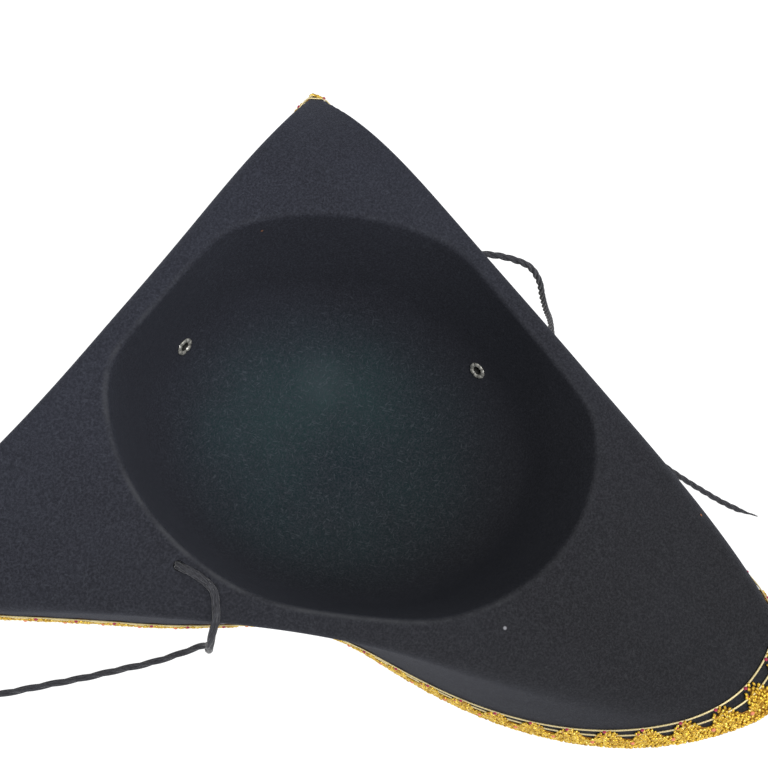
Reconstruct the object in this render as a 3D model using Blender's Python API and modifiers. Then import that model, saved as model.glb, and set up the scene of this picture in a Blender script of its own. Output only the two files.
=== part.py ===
"""Felt tricorn hat, lying upside down on its crown top, as separate named solids.

Metres, +Z up. The origin is the middle of the crown top, on the surface that the hat rests on.
The front corner points along -Y and the head opening faces up.
"""
import math

import bmesh
import bpy
import numpy as np
from mathutils import Matrix, Vector

MM = 0.001

# Felt and crown
FELT = 2.6 * MM
RIM_HEIGHT = 107 * MM
HALF_LENGTH = 105.5 * MM
HALF_WIDTH = 87 * MM
LONG_AXIS = math.radians(-75)
MEAN_RADIUS = 94 * MM
WALL_SLOPE = math.radians(9.4)
SHOULDER_RADIUS = 62 * MM
SHOULDER_END = math.radians(80)
BREAK_RADIUS = 3.2 * MM

# Brim: its width from the rim, how much of the rim's flattening its free edge doesn't follow, and how
# far the rim stays inside the folds
BRIM_WIDTH = 98.7 * MM
EDGE_EVENING = 0.3
RIM_TO_FOLD = 1.5 * MM
RIM_SHARPNESS = 36
RIM_PULL_FADE = 2
DROOP_REACH = 0.45
LEAST_CURL = 0.001

# Corners, one row each, counter-clockwise from the front: azimuth in degrees, distance of the corner
# where the two folds would meet, how far the brim curls down towards it in degrees, and extra brim width
CORNER_COLUMNS = ("azimuth", "distance", "curl", "extra_width")
CORNERS = (
    (-89.3, 229.5 * MM, 9.5, 16.0 * MM),
    (37.0, 162.7 * MM, 52.0, -5.0 * MM),
    (142.0, 192.5 * MM, 11.5, -1.0 * MM),
)

# Turned-up sides, one row each, from each corner to the next: how far the fold is pulled in to the crown
# at its middle, how far that pull leans to the far corner, then the fold's bend radius in mm and the
# flap's angle in degrees at the near corner, a quarter, half, three quarters and the far corner
SIDE_COLUMNS = ("pull", "lean", "bends", "angles")
SIDES = (
    (1.2 * MM, 1.2, (5, 15, 9.5, 4.2, 4.4), (70, 85, 89, 86, 75)),
    (10.4 * MM, -0.4, (5.2, 8, 7.5, 5, 11), (75, 85, 89, 85, 70)),
    (4.3 * MM, -0.2, (13.5, 4.4, 7.7, 33, 47), (84, 87, 90.5, 44, 26.5)),
)
QUARTERS = (0.0, 0.25, 0.5, 0.75, 1.0)

# Mesh spacing
STATIONS_PER_SIDE = 30
FINE_STEPS = 400
SHOULDER_STEPS = 6
WALL_STEPS = 2
BREAK_STEPS = 3
LEVEL_STEPS = 3
BEND_STEPS = 4
FLAP_STEPS = 3
BRAID_STEPS = 2
LATEST_BEND = 0.8
LONGEST_BEND = 0.6

# Gold braid sewn on along the free edge
BRAID_WIDTH = 19.5 * MM
BRAID_THICK = 1.0 * MM
BRAID_OVERHANG = 0.8 * MM
BRAID_LIFT = 0.65 * MM
GAP = 0.3 * MM

# Eyelets, one row each: name, azimuth in degrees, height of the middle above the resting surface
EYELETS = (
    ("eyelet_left", 90.6, 42 * MM),
    ("eyelet_right", -31.0, 42 * MM),
)
EYELET_FLANGE = 4.0 * MM
EYELET_BARREL = 2.7 * MM
EYELET_HOLE = 2.0 * MM
EYELET_SHEET = 0.6 * MM
EYELET_CLEARANCE = 0.65 * MM

# Chin cords, one row each: side, middle of the hole beside the rim in mm, the direction that the felt
# faces there, heading in degrees that the cord takes out of it, the slope in degrees to which it settles
# over the felt, and the route of its middle line in mm from there to the free end
CORD_RADIUS = 1.65 * MM
CORD_HOLE_RADIUS = 2.7 * MM
CORD_HOLE_DEPTH = 9 * MM
CORD_RISE = math.radians(55)
CORD_LIFT = 2.3 * MM
CORD_TURN = 7.0 * MM
CORD_START = -1.55 * MM
CORD_POINTS = 39
CORD_COLUMNS = ("side", "hole", "face", "heading", "settled", "route")
CORDS = (
    (
        "left",
        (-90.6, 29.5, 107.0),
        (0.0, 0.0, 1.0),
        -88.0,
        0.0,
        (
            (-90.3, 18.0, 109.2),
            (-92.8, 11.8, 109.3),
            (-98.0, 7.6, 109.4),
            (-104.0, 5.0, 108.6),
            (-108.6, 3.4, 104.0),
            (-110.4, 2.6, 95.0),
            (-110.6, 2.2, 70.0),
            (-110.2, 2.0, 40.0),
            (-110.0, 2.0, 18.0),
            (-110.6, 3.0, 7.5),
            (-114.0, 6.2, 2.4),
            (-120.4, 11.6, 1.7),
            (-130.4, 20.9, 1.7),
            (-139.9, 31.3, 1.7),
            (-149.5, 41.8, 1.7),
            (-162.5, 56.9, 1.7),
            (-175.0, 71.4, 1.7),
            (-185.6, 84.0, 1.7),
            (-194.6, 98.0, 1.7),
            (-200.6, 112.0, 1.7),
        ),
    ),
    (
        "right",
        (93.45, -6.53, 97.0),
        (0.96, -0.28, 0.0),
        -106.26,
        45.0,
        (
            (98.6, -17.7, 97.0),
            (101.8, -24.7, 95.5),
            (105.2, -31.9, 91.0),
            (107.2, -39.4, 82.0),
            (109.0, -47.4, 66.0),
            (112.4, -54.6, 49.5),
            (117.6, -61.0, 33.0),
            (121.2, -66.6, 18.0),
            (121.8, -72.0, 7.2),
            (119.2, -79.0, 2.4),
            (115.0, -88.4, 1.7),
            (108.6, -106.6, 1.7),
            (100.6, -129.0, 1.7),
            (95.2, -149.0, 1.7),
            (93.4, -168.0, 1.7),
            (93.2, -186.0, 1.7),
            (93.8, -202.0, 1.7),
            (95.6, -214.0, 1.7),
            (97.8, -221.6, 1.7),
        ),
    ),
)

# Knots that stop the cords behind the brim
KNOT_RADIUS = 3.8 * MM
KNOT_HALF_HEIGHT = 1.7 * MM


def oval_radius(azimuth):
    """Radius of the plain oval of the head opening."""
    turn = azimuth - LONG_AXIS
    return 1 / np.sqrt((np.cos(turn) / HALF_LENGTH) ** 2 + (np.sin(turn) / HALF_WIDTH) ** 2)


def rim_radius(oval, fold):
    """Radius of the rim: the oval, pulled flat where a fold presses on it."""
    sharp = RIM_SHARPNESS
    return (oval**-sharp + (fold - RIM_TO_FOLD) ** -sharp) ** (-1 / sharp)


def smooth_through(values, knots, place):
    """Smooth curve through values that stand at knots along a way."""
    values = np.array(values, float)
    knots = np.array(knots, float)
    slopes = np.gradient(values, knots, axis=0)
    i = np.clip(np.searchsorted(knots, place, side="right") - 1, 0, len(knots) - 2)
    step = knots[i + 1] - knots[i]
    u = (place - knots[i]) / step
    if values.ndim > 1:
        step, u = step[:, None], u[:, None]
    near = (2 * u**3 - 3 * u**2 + 1) * values[i] + (u**3 - 2 * u**2 + u) * step * slopes[i]
    far = (3 * u**2 - 2 * u**3) * values[i + 1] + (u**3 - u**2) * step * slopes[i + 1]
    return near + far


def length_along(points):
    """Length of a line from its first point to each of its points."""
    steps = np.linalg.norm(np.diff(points, axis=0), axis=1)
    return np.concatenate(((0.0,), np.cumsum(steps)))


def even_places(places, measure, count):
    """Places at which a growing measure passes through equal steps."""
    return np.interp(np.linspace(measure[0], measure[-1], count + 1), measure, places)


def side_sections(near, far, side, place):
    """What the brim is made from at places along one turned-up side, each value an array."""
    near = dict(zip(CORNER_COLUMNS, near))
    far = dict(zip(CORNER_COLUMNS, far))
    side = dict(zip(SIDE_COLUMNS, side))
    corner = []
    for row in (near, far):
        azimuth = math.radians(row["azimuth"])
        corner.append(row["distance"] * np.array((math.cos(azimuth), math.sin(azimuth))))
    along = corner[1] - corner[0]
    outward = np.array((along[1], -along[0])) / np.hypot(*along)
    pull = side["pull"] * 4 * place * (1 - place) * (1 + side["lean"] * (2 * place - 1))
    fold = corner[0] + along * place[:, None] - outward * pull[:, None]
    distance = np.hypot(fold[:, 0], fold[:, 1])
    square_on = np.maximum(np.abs(fold @ outward) / distance, 0.5)
    near_share = np.cos(np.clip(place / DROOP_REACH, 0, 1) * math.pi / 2) ** 2
    far_share = np.cos(np.clip((1 - place) / DROOP_REACH, 0, 1) * math.pi / 2) ** 2
    azimuth = np.unwrap(np.arctan2(fold[:, 1], fold[:, 0]))
    oval = oval_radius(azimuth)
    rim = rim_radius(oval, distance)
    extra = near["extra_width"] * near_share + far["extra_width"] * far_share
    return {
        "azimuth": azimuth,
        "fold": distance,
        "oval": oval,
        "rim": rim,
        "bend": smooth_through(side["bends"], QUARTERS, place) * MM / square_on,
        "angle": np.radians(smooth_through(side["angles"], QUARTERS, place)),
        "curl": np.radians(near["curl"] * near_share + far["curl"] * far_share) + LEAST_CURL,
        "width": BRIM_WIDTH + extra + EDGE_EVENING * (oval - rim),
    }


def all_stations():
    """Stations right round the hat, spread evenly both in azimuth and along the brim's free edge."""
    sides = []
    for i, side in enumerate(SIDES):
        corners = CORNERS[i], CORNERS[(i + 1) % len(CORNERS)]
        fine = np.linspace(0, 1, FINE_STEPS)
        at = side_sections(*corners, side, fine)
        edge = np.array(ring_points(at["azimuth"], *brim_section(at, at["width"])))
        length = length_along(edge)
        turned = at["azimuth"] - at["azimuth"][0]
        place = even_places(fine, length / length[-1] + turned / turned[-1], STATIONS_PER_SIDE)
        sides.append(side_sections(*corners, side, place[:-1]))
    return {key: np.concatenate([side[key] for side in sides]) for key in sides[0]}


def length_to_fold(at):
    """Length of brim from the rim to the start of the fold, along each section."""
    bow = at["curl"] / at["width"]
    return np.arcsin(np.clip(bow * (at["fold"] - at["rim"]), 0, 0.999)) / bow


def brim_section(at, length):
    """Radius and height of the brim's upper face, at a length from the rim along each section.

    A section curls gently out to the fold, turns down round the bend and runs on straight.
    """
    bow = at["curl"] / at["width"]
    to_fold = length_to_fold(at)
    first = np.minimum(length, to_fold)
    slope = bow * first
    radius = at["rim"] + np.sin(slope) / bow
    height = RIM_HEIGHT - (1 - np.cos(slope)) / bow
    turn = np.maximum(at["angle"] - slope, 0)
    second = np.clip(length - to_fold, 0, at["bend"] * turn)
    bent = slope + second / at["bend"]
    radius += at["bend"] * (np.sin(bent) - np.sin(slope))
    height -= at["bend"] * (np.cos(slope) - np.cos(bent))
    rest = np.maximum(length - to_fold - at["bend"] * turn, 0)
    return radius + rest * np.cos(bent), height - rest * np.sin(bent)


def crown_profile():
    """Insets from the rim and heights of the crown's inner face, from the flat top up to the rim."""
    arc_rise = SHOULDER_RADIUS * (math.sin(SHOULDER_END) - math.sin(WALL_SLOPE))
    wall_foot = FELT + arc_rise
    break_drop = BREAK_RADIUS * (1 - math.sin(WALL_SLOPE))
    break_inset = BREAK_RADIUS * math.cos(WALL_SLOPE)
    wall_top = RIM_HEIGHT - break_drop
    foot_inset = break_inset + (wall_top - wall_foot) * math.tan(WALL_SLOPE)
    rows = []
    for i in range(SHOULDER_STEPS + 1):
        slope = SHOULDER_END + (WALL_SLOPE - SHOULDER_END) * i / SHOULDER_STEPS
        inset = foot_inset + SHOULDER_RADIUS * (math.cos(WALL_SLOPE) - math.cos(slope))
        height = FELT + SHOULDER_RADIUS * (math.sin(SHOULDER_END) - math.sin(slope))
        rows.append((inset, height))
    for i in range(1, WALL_STEPS + 1):
        share = i / WALL_STEPS
        inset = foot_inset + (break_inset - foot_inset) * share
        rows.append((inset, wall_foot + (wall_top - wall_foot) * share))
    for i in range(1, BREAK_STEPS + 1):
        slope = WALL_SLOPE + (math.pi / 2 - WALL_SLOPE) * i / BREAK_STEPS
        rows.append((BREAK_RADIUS * math.cos(slope), RIM_HEIGHT - BREAK_RADIUS * (1 - math.sin(slope))))
    return rows


def crown_radius(at, inset, height):
    """Radius of the crown's inner face: it takes over the rim's own shape as it rises."""
    pulled = (height / RIM_HEIGHT) ** RIM_PULL_FADE
    return (at["oval"] + (at["rim"] - at["oval"]) * pulled) * (1 - inset / MEAN_RADIUS)


def crown_point(at, azimuth, height):
    """Point on the crown's inner face at one azimuth and height."""
    heights = [row[1] for row in crown_profile()]
    insets = [row[0] for row in crown_profile()]
    radii = crown_radius(at, np.interp(height, heights, insets), height)
    radius = np.interp(azimuth, at["azimuth"], radii, period=2 * math.pi)
    return Vector((radius * math.cos(azimuth), radius * math.sin(azimuth), height))


def brim_lengths(at):
    """Lengths from the rim of the brim's mesh rows, which follow the fold and then the braid's edge."""
    inner = at["width"] - BRAID_WIDTH
    start = np.minimum(length_to_fold(at), LATEST_BEND * inner)
    stop = start + np.minimum(at["bend"] * at["angle"], LONGEST_BEND * (inner - start))
    rows = [start * i / LEVEL_STEPS for i in range(1, LEVEL_STEPS + 1)]
    rows += [start + (stop - start) * i / BEND_STEPS for i in range(1, BEND_STEPS + 1)]
    rows += [stop + (inner - stop) * i / FLAP_STEPS for i in range(1, FLAP_STEPS + 1)]
    return rows + [inner + BRAID_WIDTH * i / BRAID_STEPS for i in range(1, BRAID_STEPS + 1)]


def cord_seat(cord):
    """Middle of a cord's hole on the felt's face, the way the felt faces and the way the cord heads."""
    heading = math.radians(cord["heading"])
    return (
        np.array(cord["hole"]) * MM,
        np.array(cord["face"]) / np.linalg.norm(cord["face"]),
        np.array((math.cos(heading), math.sin(heading), 0)),
    )


def cord_start(cord):
    """Points where the cord rises through its slanting hole and turns along the brim."""
    hole, up, ahead = cord_seat(cord)
    foot = CORD_LIFT - CORD_TURN * (1 - math.cos(CORD_RISE))
    hole = hole + ahead * (foot + FELT / 2) / math.tan(CORD_RISE)
    points = [hole + up * CORD_START + ahead * (CORD_START - foot) / math.tan(CORD_RISE)]
    for share in (0.0, 0.33, 0.67, 1.0):
        slope = CORD_RISE + (math.radians(cord["settled"]) - CORD_RISE) * share
        out = CORD_TURN * (math.sin(CORD_RISE) - math.sin(slope))
        rise = CORD_TURN * (math.cos(slope) - math.cos(CORD_RISE))
        points.append(hole + ahead * out + up * (foot + rise))
    return points


def cord_line(cord):
    """Points of the cord's middle line, closer together where it bends."""
    route = np.array(cord_start(cord) + [np.array(point) * MM for point in cord["route"]])
    knots = length_along(route)
    place = np.linspace(0, knots[-1], FINE_STEPS)
    line = smooth_through(route, knots, place)
    line[:, 2] = np.maximum(line[:, 2], CORD_RADIUS)
    ways = np.diff(line, axis=0)
    ways /= np.linalg.norm(ways, axis=1)[:, None]
    turns = length_along(np.concatenate((ways, ways[-1:])))
    even = even_places(place, place / place[-1] + 0.5 * turns / turns[-1], CORD_POINTS - 1)
    return np.stack([np.interp(even, place, line[:, axis]) for axis in range(3)], axis=1)


def material(name, colour, roughness, metallic=0.0):
    made = bpy.data.materials.new(name)
    made.use_nodes = True
    shader = made.node_tree.nodes["Principled BSDF"]
    shader.inputs["Base Color"].default_value = (*colour, 1)
    shader.inputs["Roughness"].default_value = roughness
    shader.inputs["Metallic"].default_value = metallic
    return made


def add_object(name, data, collection, finish=None):
    made = bpy.data.objects.new(name, data)
    collection.objects.link(made)
    if finish:
        data.materials.append(finish)
    return made


def ring_points(azimuths, radii, heights):
    heights = np.broadcast_to(heights, radii.shape)
    return [
        Vector((r * math.cos(a), r * math.sin(a), z)) for a, r, z in zip(azimuths, radii, heights)
    ]


def ring_sheet(name, rings, lift=0.0):
    """Mesh of a sheet that runs round the hat: one closed ring of points for each row of a grid."""
    columns = len(rings[0])
    sheet = bmesh.new()
    bmesh.ops.create_grid(sheet, x_segments=columns, y_segments=len(rings) - 1, size=1)
    for vert in sheet.verts:
        column = round((vert.co.x + 1) / 2 * columns) % columns
        row = round((vert.co.y + 1) / 2 * (len(rings) - 1))
        vert.co = rings[row][column]
    bmesh.ops.remove_doubles(sheet, verts=sheet.verts, dist=0.001 * MM)
    bmesh.ops.reverse_faces(sheet, faces=sheet.faces)
    sheet.normal_update()
    lifts = [vert.normal * lift * vert.calc_shell_factor() for vert in sheet.verts]
    for vert, rise in zip(sheet.verts, lifts):
        vert.co += rise
    mesh = bpy.data.meshes.new(name)
    sheet.to_mesh(mesh)
    sheet.free()
    return mesh


def add_solidify(target, thickness, offset):
    wall = target.modifiers.new("wall", "SOLIDIFY")
    wall.thickness = thickness
    wall.offset = offset
    wall.use_even_offset = True
    return wall


def point_along(target, place, direction):
    """Stand an object at a place with its own Z along a direction."""
    target.location = place
    target.rotation_mode = "QUATERNION"
    target.rotation_quaternion = Vector((0, 0, 1)).rotation_difference(Vector(direction))


def cut_round_hole(target, name, place, direction, radius, depth, collection):
    shape = bmesh.new()
    bmesh.ops.create_cone(
        shape, cap_ends=True, segments=20, radius1=radius, radius2=radius, depth=depth
    )
    mesh = bpy.data.meshes.new(name)
    shape.to_mesh(mesh)
    shape.free()
    cutter = add_object(name, mesh, collection)
    point_along(cutter, place, direction)
    cutter.hide_render = True
    cutter.display_type = "WIRE"
    cut = target.modifiers.new(name, "BOOLEAN")
    cut.operation = "DIFFERENCE"
    cut.object = cutter


def build_hat_body(at, collection, finish):
    """One piece of blocked felt: the crown, the rim and the brim turned up on three sides."""
    rings = []
    for inset, height in crown_profile():
        rings.append(ring_points(at["azimuth"], crown_radius(at, inset, height), height))
    for length in brim_lengths(at):
        rings.append(ring_points(at["azimuth"], *brim_section(at, length)))
    mesh = ring_sheet("hat_body", rings)
    shape = bmesh.new()
    shape.from_mesh(mesh)
    flat_radius = crown_radius(at, *crown_profile()[0]).max()
    crown_edges = [
        edge
        for edge in shape.edges
        if edge.is_boundary and edge.verts[0].co.xy.length < flat_radius + GAP
    ]
    bmesh.ops.edgeloop_fill(shape, edges=crown_edges)
    bmesh.ops.recalc_face_normals(shape, faces=shape.faces)
    top = min(shape.faces, key=lambda face: face.calc_center_median().z)
    if top.normal.z < 0:
        bmesh.ops.reverse_faces(shape, faces=shape.faces)
    shape.to_mesh(mesh)
    shape.free()
    body = add_object("hat_body", mesh, collection, finish)
    add_solidify(body, FELT, -1)
    mesh.shade_smooth()
    return body


def build_braid(at, collection, finish):
    """The gold braid: a flat strip sewn on along the brim's free edge, right round the hat."""
    inner = at["width"] - BRAID_WIDTH
    lengths = (inner, inner + BRAID_WIDTH / 2, at["width"] + BRAID_OVERHANG)
    rings = [ring_points(at["azimuth"], *brim_section(at, length)) for length in lengths]
    mesh = ring_sheet("brim_braid", rings, BRAID_LIFT)
    braid = add_object("brim_braid", mesh, collection, finish)
    add_solidify(braid, BRAID_THICK, 1)


def build_eyelet(at, name, azimuth, height, body, parts, cutters, finish):
    """A turned metal eyelet: a flange on each side of the felt and a barrel through its hole."""
    azimuth = math.radians(azimuth)
    place = crown_point(at, azimuth, height)
    sideways = crown_point(at, azimuth + 0.03, height) - crown_point(at, azimuth - 0.03, height)
    upwards = crown_point(at, azimuth, height + 2 * MM) - crown_point(at, azimuth, height - 2 * MM)
    inward = upwards.cross(sideways).normalized()
    if inward.dot(place) > 0:
        inward = -inward
    front = EYELET_CLEARANCE
    back = -FELT - EYELET_CLEARANCE
    profile = (
        (EYELET_HOLE + 0.4 * MM, front + EYELET_SHEET),
        (EYELET_FLANGE - 0.5 * MM, front + EYELET_SHEET),
        (EYELET_FLANGE, front + 0.2 * MM),
        (EYELET_FLANGE - 0.1 * MM, front),
        (EYELET_BARREL, front),
        (EYELET_BARREL, back),
        (EYELET_FLANGE - 0.2 * MM, back),
        (EYELET_FLANGE - 0.2 * MM, back - EYELET_SHEET),
        (EYELET_HOLE, back - EYELET_SHEET),
        (EYELET_HOLE, front + EYELET_SHEET - 0.4 * MM),
    )
    shape = bmesh.new()
    corners = [shape.verts.new((radius, 0, level)) for radius, level in profile]
    for i, corner in enumerate(corners):
        shape.edges.new((corner, corners[(i + 1) % len(corners)]))
    mesh = bpy.data.meshes.new(name)
    shape.to_mesh(mesh)
    shape.free()
    eyelet = add_object(name, mesh, parts, finish)
    turn = eyelet.modifiers.new("turn", "SCREW")
    turn.steps = turn.render_steps = 28
    turn.use_merge_vertices = True
    turn.merge_threshold = 0.01 * MM
    point_along(eyelet, place, inward)
    cut_round_hole(
        body, name + "_hole", place, inward, EYELET_BARREL + EYELET_CLEARANCE, 12 * MM, cutters
    )


def build_cord(cord, body, parts, cutters, finish):
    """A chin cord, the hole in the brim that it comes up through, and the knot that stops it."""
    line = cord_line(cord)
    curve = bpy.data.curves.new("chin_cord_" + cord["side"], "CURVE")
    curve.dimensions = "3D"
    curve.bevel_depth = CORD_RADIUS
    curve.bevel_resolution = 2
    curve.use_fill_caps = True
    spline = curve.splines.new("POLY")
    spline.points.add(len(line) - 1)
    for point, place in zip(spline.points, line):
        point.co = (*place, 1)
    add_object("chin_cord_" + cord["side"], curve, parts, finish)

    hole, up, ahead = cord_seat(cord)
    middle = Vector(hole - up * FELT / 2)
    rise = Vector(ahead + up * math.tan(CORD_RISE))
    cut_round_hole(
        body, "cord_hole_" + cord["side"], middle, rise, CORD_HOLE_RADIUS, CORD_HOLE_DEPTH, cutters
    )

    shape = bmesh.new()
    size = (KNOT_RADIUS, KNOT_RADIUS, KNOT_HALF_HEIGHT)
    bmesh.ops.create_uvsphere(
        shape, u_segments=20, v_segments=12, radius=1, matrix=Matrix.Diagonal((*size, 1))
    )
    mesh = bpy.data.meshes.new("cord_knot_" + cord["side"])
    shape.to_mesh(mesh)
    shape.free()
    mesh.shade_smooth()
    knot = add_object("cord_knot_" + cord["side"], mesh, parts, finish)
    below = FELT + GAP + KNOT_HALF_HEIGHT + CORD_START
    point_along(knot, Vector(line[0] - up * below), up)


def main():
    for old in list(bpy.data.objects):
        bpy.data.objects.remove(old)
    parts = bpy.data.collections.new("tricorn_hat")
    cutters = bpy.data.collections.new("cutters")
    bpy.context.scene.collection.children.link(parts)
    bpy.context.scene.collection.children.link(cutters)
    felt = material("black_felt", (0.018, 0.019, 0.024), 0.95)
    gold = material("gold_braid", (0.75, 0.48, 0.08), 0.4, 0.8)
    nickel = material("nickel", (0.62, 0.62, 0.6), 0.3, 1.0)
    black_cord = material("black_cord", (0.02, 0.02, 0.023), 0.7)
    at = all_stations()
    body = build_hat_body(at, parts, felt)
    build_braid(at, parts, gold)
    for name, azimuth, height in EYELETS:
        build_eyelet(at, name, azimuth, height, body, parts, cutters, nickel)
    for row in CORDS:
        build_cord(dict(zip(CORD_COLUMNS, row)), body, parts, cutters, black_cord)


main()
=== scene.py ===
import math
import random

import bmesh
import bpy
import numpy as np
from mathutils import Matrix, Vector


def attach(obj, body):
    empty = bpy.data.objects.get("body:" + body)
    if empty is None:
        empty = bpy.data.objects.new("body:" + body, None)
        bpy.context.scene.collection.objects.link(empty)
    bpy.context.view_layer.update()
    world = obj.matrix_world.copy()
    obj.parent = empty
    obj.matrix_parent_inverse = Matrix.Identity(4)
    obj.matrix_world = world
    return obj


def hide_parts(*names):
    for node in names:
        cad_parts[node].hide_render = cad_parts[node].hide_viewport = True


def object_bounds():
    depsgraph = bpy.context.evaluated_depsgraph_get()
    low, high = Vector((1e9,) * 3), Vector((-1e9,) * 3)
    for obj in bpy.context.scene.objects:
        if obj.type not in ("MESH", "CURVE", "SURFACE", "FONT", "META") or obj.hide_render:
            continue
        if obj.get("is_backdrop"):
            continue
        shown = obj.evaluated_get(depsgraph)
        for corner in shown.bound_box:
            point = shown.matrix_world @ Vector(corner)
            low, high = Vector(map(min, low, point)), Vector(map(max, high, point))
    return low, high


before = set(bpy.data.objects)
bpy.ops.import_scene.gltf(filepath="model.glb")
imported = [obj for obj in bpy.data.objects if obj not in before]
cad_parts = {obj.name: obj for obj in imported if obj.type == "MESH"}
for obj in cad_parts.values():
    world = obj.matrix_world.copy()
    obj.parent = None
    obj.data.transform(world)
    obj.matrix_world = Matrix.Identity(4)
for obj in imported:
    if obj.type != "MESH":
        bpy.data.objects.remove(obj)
cad_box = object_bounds()
MM = 0.001

# Hat body
# Crown, rim and brim are one piece of wool felt, blocked wet over a form and dried stiff. The brim
# is steamed and turned up on three sides, so that its corners stay low between the folds.
FELT = 2.6 * MM
RIM_HEIGHT = 107 * MM
HALF_LENGTH = 105.5 * MM
HALF_WIDTH = 87 * MM
LONG_AXIS = math.radians(-75)
MEAN_RADIUS = 94 * MM
WALL_SLOPE = math.radians(9.4)
SHOULDER_RADIUS = 62 * MM
SHOULDER_END = math.radians(80)
SHOULDER_RISE = math.sin(SHOULDER_END) - math.sin(WALL_SLOPE)
BREAK_RADIUS = 3.2 * MM
RIM_TO_FOLD = 1.5 * MM
RIM_SHARPNESS = 36
INSIDE_CROWN = 40 * MM
BRIM_WIDTH = 98.7 * MM
EDGE_EVENING = 0.3
DROOP_REACH = 0.45
BRAID_WIDTH = 19.5 * MM
FINE_STEPS = 400

# azimuth, distance, curl and extra width of each corner, from the front corner counter-clockwise
CORNERS = (
    (-89.3, 229.5, 9.5, 16.0),
    (37.0, 162.7, 52.0, -5.0),
    (142.0, 192.5, 11.5, -1.0),
)
# pull towards the crown, its lean, and the fold's bends and angles at each quarter of a side
SIDES = (
    (1.2, 1.2, (5, 15, 9.5, 4.2, 4.4), (70, 85, 89, 86, 75)),
    (10.4, -0.4, (5.2, 8, 7.5, 5, 11), (75, 85, 89, 85, 70)),
    (4.3, -0.2, (13.5, 4.4, 7.7, 33, 47), (84, 87, 90.5, 44, 26.5)),
)


def oval_radius(azimuth):
    turn = azimuth - LONG_AXIS
    return 1 / np.sqrt((np.cos(turn) / HALF_LENGTH) ** 2 + (np.sin(turn) / HALF_WIDTH) ** 2)


def smooth_through(values, knots, place):
    values, knots = np.array(values, float), np.array(knots, float)
    slopes = np.gradient(values, knots, axis=0)
    i = np.clip(np.searchsorted(knots, place, side="right") - 1, 0, len(knots) - 2)
    step = knots[i + 1] - knots[i]
    u = (place - knots[i]) / step
    if values.ndim > 1:
        step, u = step[:, None], u[:, None]
    near = (2 * u**3 - 3 * u**2 + 1) * values[i] + (u**3 - 2 * u**2 + u) * step * slopes[i]
    far = (3 * u**2 - 2 * u**3) * values[i + 1] + (u**3 - u**2) * step * slopes[i + 1]
    return near + far


def length_along(points):
    steps = np.linalg.norm(np.diff(points, axis=0), axis=1)
    return np.concatenate(((0.0,), np.cumsum(steps)))


def side_sections(near, far, side, place):
    """What the brim is made from at places along one turned-up side."""
    corner = []
    for azimuth, distance, _, _ in (near, far):
        azimuth = math.radians(azimuth)
        corner.append(distance * MM * np.array((math.cos(azimuth), math.sin(azimuth))))
    along = corner[1] - corner[0]
    outward = np.array((along[1], -along[0])) / np.hypot(*along)
    pull, lean, bends, angles = side
    pull = pull * MM * 4 * place * (1 - place) * (1 + lean * (2 * place - 1))
    fold = corner[0] + along * place[:, None] - outward * pull[:, None]
    distance = np.hypot(fold[:, 0], fold[:, 1])
    square_on = np.maximum(np.abs(fold @ outward) / distance, 0.5)
    near_share = np.cos(np.clip(place / DROOP_REACH, 0, 1) * math.pi / 2) ** 2
    far_share = np.cos(np.clip((1 - place) / DROOP_REACH, 0, 1) * math.pi / 2) ** 2
    azimuth = np.unwrap(np.arctan2(fold[:, 1], fold[:, 0]))
    oval = oval_radius(azimuth)
    sharp = RIM_SHARPNESS
    rim = (oval**-sharp + (distance - RIM_TO_FOLD) ** -sharp) ** (-1 / sharp)
    extra = (near[3] * near_share + far[3] * far_share) * MM
    quarters = np.linspace(0, 1, 5)
    return {
        "azimuth": azimuth,
        "fold": distance,
        "oval": oval,
        "rim": rim,
        "bend": smooth_through(bends, quarters, place) * MM / square_on,
        "angle": np.radians(smooth_through(angles, quarters, place)),
        "curl": np.radians(near[2] * near_share + far[2] * far_share) + 0.001,
        "width": BRIM_WIDTH + extra + EDGE_EVENING * (oval - rim),
    }


def length_to_fold(at):
    bow = at["curl"] / at["width"]
    return np.arcsin(np.clip(bow * (at["fold"] - at["rim"]), 0, 0.999)) / bow


def brim_section(at, length):
    """Radius and height of the brim's upper face, at a length from the rim along each section."""
    bow = at["curl"] / at["width"]
    to_fold = length_to_fold(at)
    slope = bow * np.minimum(length, to_fold)
    radius = at["rim"] + np.sin(slope) / bow
    height = RIM_HEIGHT - (1 - np.cos(slope)) / bow
    turn = np.maximum(at["angle"] - slope, 0)
    bent = slope + np.clip(length - to_fold, 0, at["bend"] * turn) / at["bend"]
    radius = radius + at["bend"] * (np.sin(bent) - np.sin(slope))
    height = height - at["bend"] * (np.cos(slope) - np.cos(bent))
    rest = np.maximum(length - to_fold - at["bend"] * turn, 0)
    return radius + rest * np.cos(bent), height - rest * np.sin(bent)


def ring_points(azimuths, radii, heights):
    heights = np.broadcast_to(heights, radii.shape)
    return np.stack((radii * np.cos(azimuths), radii * np.sin(azimuths), heights), axis=1)


def all_stations(count):
    """Stations right round the hat, even both in azimuth and along the brim's free edge."""
    sides = []
    for i, side in enumerate(SIDES):
        corners = CORNERS[i], CORNERS[(i + 1) % len(CORNERS)]
        fine = np.linspace(0, 1, FINE_STEPS)
        at = side_sections(*corners, side, fine)
        length = length_along(ring_points(at["azimuth"], *brim_section(at, at["width"])))
        turned = at["azimuth"] - at["azimuth"][0]
        measure = length / length[-1] + turned / turned[-1]
        place = np.interp(np.linspace(0, measure[-1], count + 1), measure, fine)
        sides.append(side_sections(*corners, side, place[:-1]))
    return {key: np.concatenate([side[key] for side in sides]) for key in sides[0]}


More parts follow.
